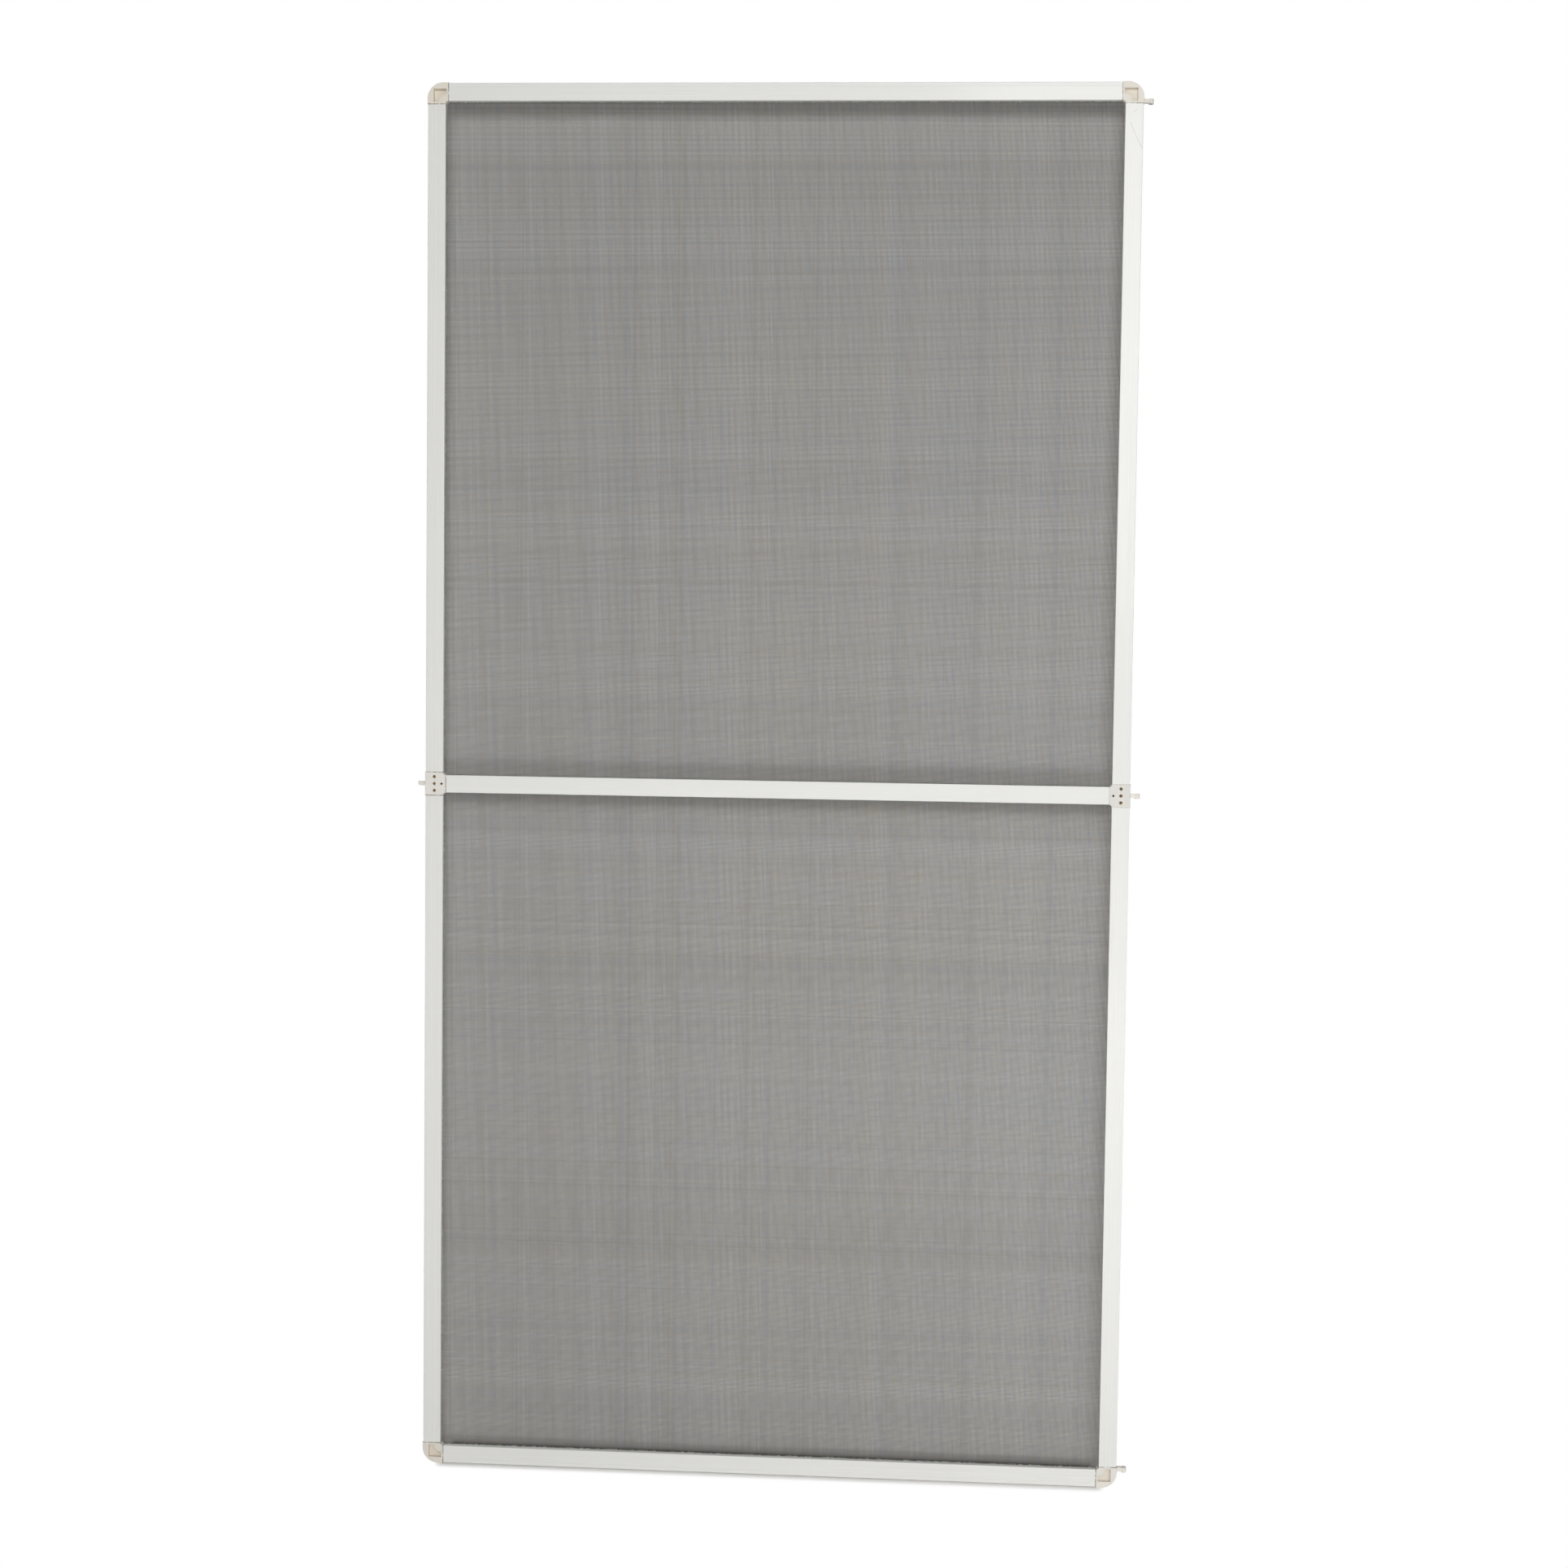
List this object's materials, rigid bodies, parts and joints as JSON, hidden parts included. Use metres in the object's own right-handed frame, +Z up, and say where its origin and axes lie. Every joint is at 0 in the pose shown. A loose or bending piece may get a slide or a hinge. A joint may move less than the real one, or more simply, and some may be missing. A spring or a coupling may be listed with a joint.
{
  "type": "window insect screen",
  "caption": "Tall hinged insect screen: white profiles with moulded corner and T connectors, a cross rail and a grey woven mesh held by spline cord.",
  "frame": {"origin": "bottom centre of the whole box, tongue and hinge arms included", "axes": "+Z up, -Y towards the viewer in front, +X towards the hinge side"},
  "size_m": [1.024, 0.011, 1.9726],
  "materials": {
    "white_profile": "satin white powder coat",
    "ivory_moulding": "fine matt moulding",
    "grey_weave": "coated glass-fibre weave",
    "spline_cord": "matt ribbed cord"
  },
  "bodies": {
    "root": {"top_rail": "white_profile", "mid_rail": "white_profile", "bottom_rail": "white_profile", "left_stile_upper": "white_profile", "left_stile_lower": "white_profile", "right_stile_upper": "white_profile", "right_stile_lower": "white_profile", "corner_top_left": "ivory_moulding", "corner_top_right": "ivory_moulding", "corner_bottom_left": "ivory_moulding", "corner_bottom_right": "ivory_moulding", "tee_left": "ivory_moulding", "tee_right": "ivory_moulding", "hinge_arm_top": "ivory_moulding", "hinge_arm_middle": "ivory_moulding", "hinge_arm_bottom": "ivory_moulding", "catch_tongue": "ivory_moulding", "spline_top": "spline_cord", "spline_bottom": "spline_cord", "spline_left": "spline_cord", "spline_right": "spline_cord", "insect_mesh": "grey_weave"}
  },
  "joints": []
}
